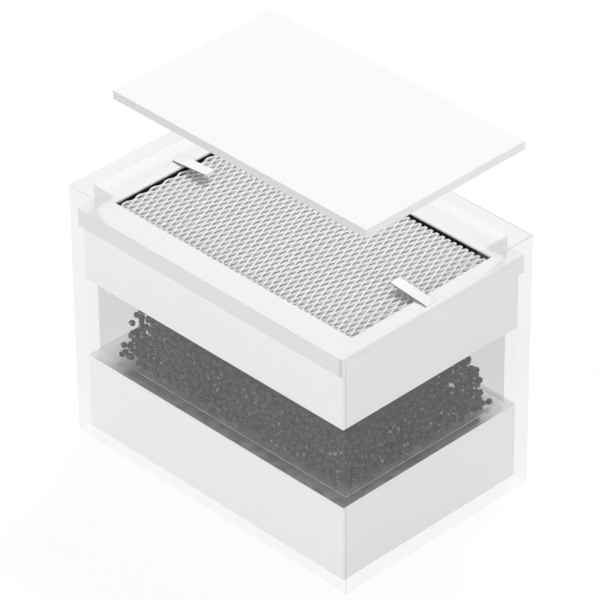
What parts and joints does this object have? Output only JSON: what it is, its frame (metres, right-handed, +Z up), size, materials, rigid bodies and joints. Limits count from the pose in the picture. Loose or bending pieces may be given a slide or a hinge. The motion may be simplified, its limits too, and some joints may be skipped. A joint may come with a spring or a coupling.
{
  "type": "canister filter",
  "caption": "Box-shaped aquarium canister filter: clear case, lift-out media trays, diamond mesh intake screen, lift-off lid and rear hose outlet.",
  "frame": {"origin": "centre of the case's underside, on the surface it stands on", "axes": "+X along the length, +Y towards the outlet at the back, +Z up"},
  "size_m": [0.225, 0.1795, 0.2382],
  "materials": {
    "clear_acrylic": "clear polished acrylic sheet",
    "clear_rim": "clear polished acrylic sheet",
    "clear_tray": "clear moulded plastic",
    "lid_white": "satin white sheet",
    "tray_white": "fine matt white moulding",
    "grid_white": "fine matt white moulding",
    "clip_white": "smooth white strip",
    "screen_mesh": "pale grey expanded mesh",
    "filter_floss": "white fibrous pad",
    "coarse_foam": "open-cell foam",
    "sponge": "open-cell sponge",
    "carbon": "dry charcoal pellets",
    "fitting_white": "turned white plastic",
    "gasket_rubber": "black rubber"
  },
  "bodies": {
    "case": {"case_front": "clear_acrylic", "case_back": "clear_acrylic", "case_left": "clear_acrylic", "case_right": "clear_acrylic", "case_base": "clear_acrylic", "outlet_spigot": "fitting_white", "outlet_gasket": "gasket_rubber", "outlet_nut": "fitting_white"},
    "sponge_tray": {"sponge_tray": "tray_white", "drain_grid": "grid_white", "sponge": "sponge"},
    "carbon_tray": {"carbon_tray": "clear_tray", "carbon_bed": "carbon"},
    "pad_tray": {"pad_tray": "tray_white", "screen": "screen_mesh", "left_clip": "clip_white", "right_clip": "clip_white", "fine_pad": "filter_floss", "coarse_foam": "coarse_foam"},
    "rim": {"top_rim": "clear_rim"},
    "lid": {"lid": "lid_white"}
  },
  "joints": [
    {"name": "sponge_tray_lift", "type": "slide", "parent": "case", "child": "sponge_tray", "axis": [0, 0, 1], "range_m": [0, 0.16]},
    {"name": "carbon_tray_lift", "type": "slide", "parent": "sponge_tray", "child": "carbon_tray", "axis": [0, 0, 1], "range_m": [0, 0.11]},
    {"name": "pad_tray_lift", "type": "slide", "parent": "carbon_tray", "child": "pad_tray", "axis": [0, 0, 1], "range_m": [0, 0.06]},
    {"name": "rim_lift", "type": "slide", "parent": "pad_tray", "child": "rim", "axis": [0, 0, 1], "range_m": [0, 0.04]},
    {"name": "lid_lift", "type": "slide", "parent": "rim", "child": "lid", "axis": [0.118, 0.1151, 0.9863], "range_m": [-0.0703, 0]}
  ]
}
